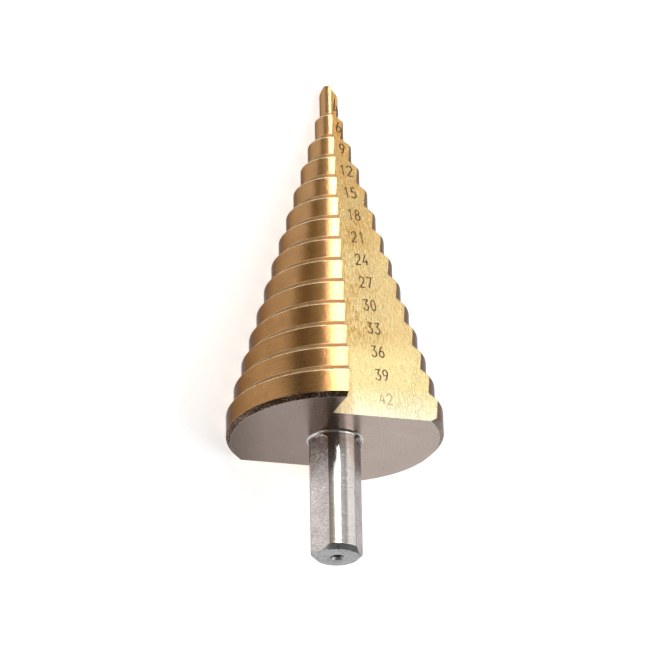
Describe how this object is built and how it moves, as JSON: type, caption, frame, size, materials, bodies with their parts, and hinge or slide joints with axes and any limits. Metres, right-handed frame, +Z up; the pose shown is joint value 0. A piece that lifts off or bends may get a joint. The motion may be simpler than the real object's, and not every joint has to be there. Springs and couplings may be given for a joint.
{
  "type": "step drill",
  "caption": "Step drill for sheet metal with straight flutes, a ground point, a gold coated stepped cone and a round shank with ground flats, lying at rest on a flute and its point",
  "frame": {"origin": "middle of the base of the bounding box of the drill as it lies, on the floor", "axes": "+Z is up; the drill's axis lies in the XZ plane, with the point at -X touching the floor and the shank at +X in the air, its axis 12.6 degrees off level; +Y is to the right seen from the shank's end towards the point, with Z up"},
  "size_m": [0.1, 0.0416, 0.0364],
  "materials": {
    "coated_steel": "ground high speed steel, gold titanium nitride coating on the cone and flutes, bare ground steel on the shank and base face"
  },
  "bodies": {
    "root": {"step_drill": "coated_steel"}
  },
  "joints": []
}
